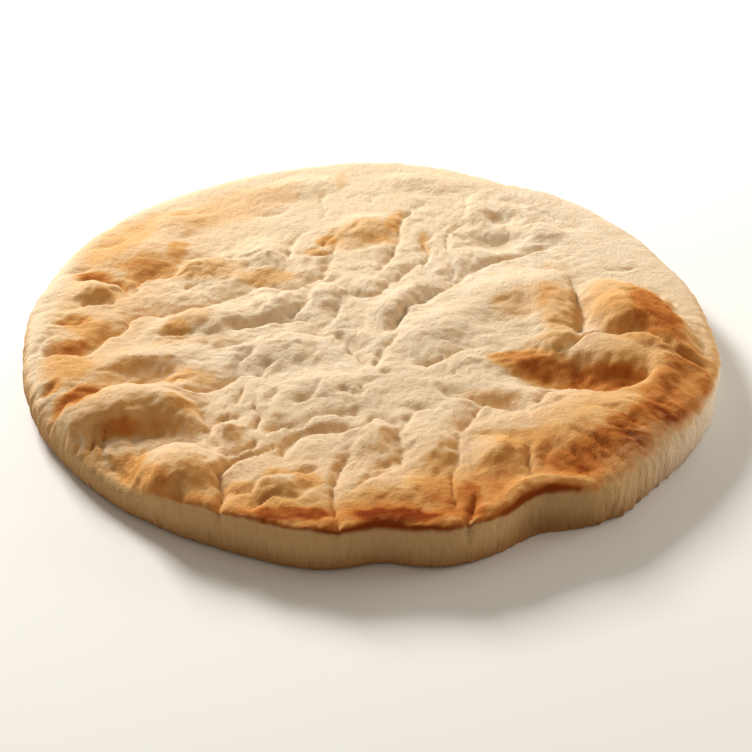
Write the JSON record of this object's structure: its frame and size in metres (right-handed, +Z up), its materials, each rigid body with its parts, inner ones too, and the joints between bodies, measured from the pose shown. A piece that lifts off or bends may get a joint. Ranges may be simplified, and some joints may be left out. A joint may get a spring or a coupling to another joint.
{
  "type": "pizza base",
  "caption": "Round pre-baked pizza base with a puffed, creased, patchily browned crust, a pale side wall and a flat underside.",
  "frame": {"origin": "centre of the footprint, on the surface that the base lies on", "axes": "+Z up through the crust, -Y towards the side that the picture is taken from, +X to the right in the picture"},
  "size_m": [0.2332, 0.2388, 0.0249],
  "materials": {
    "baked_dough": "matt baked dough, pale and floury with golden-brown patches"
  },
  "bodies": {
    "root": {"pizza_base": "baked_dough"}
  },
  "joints": []
}
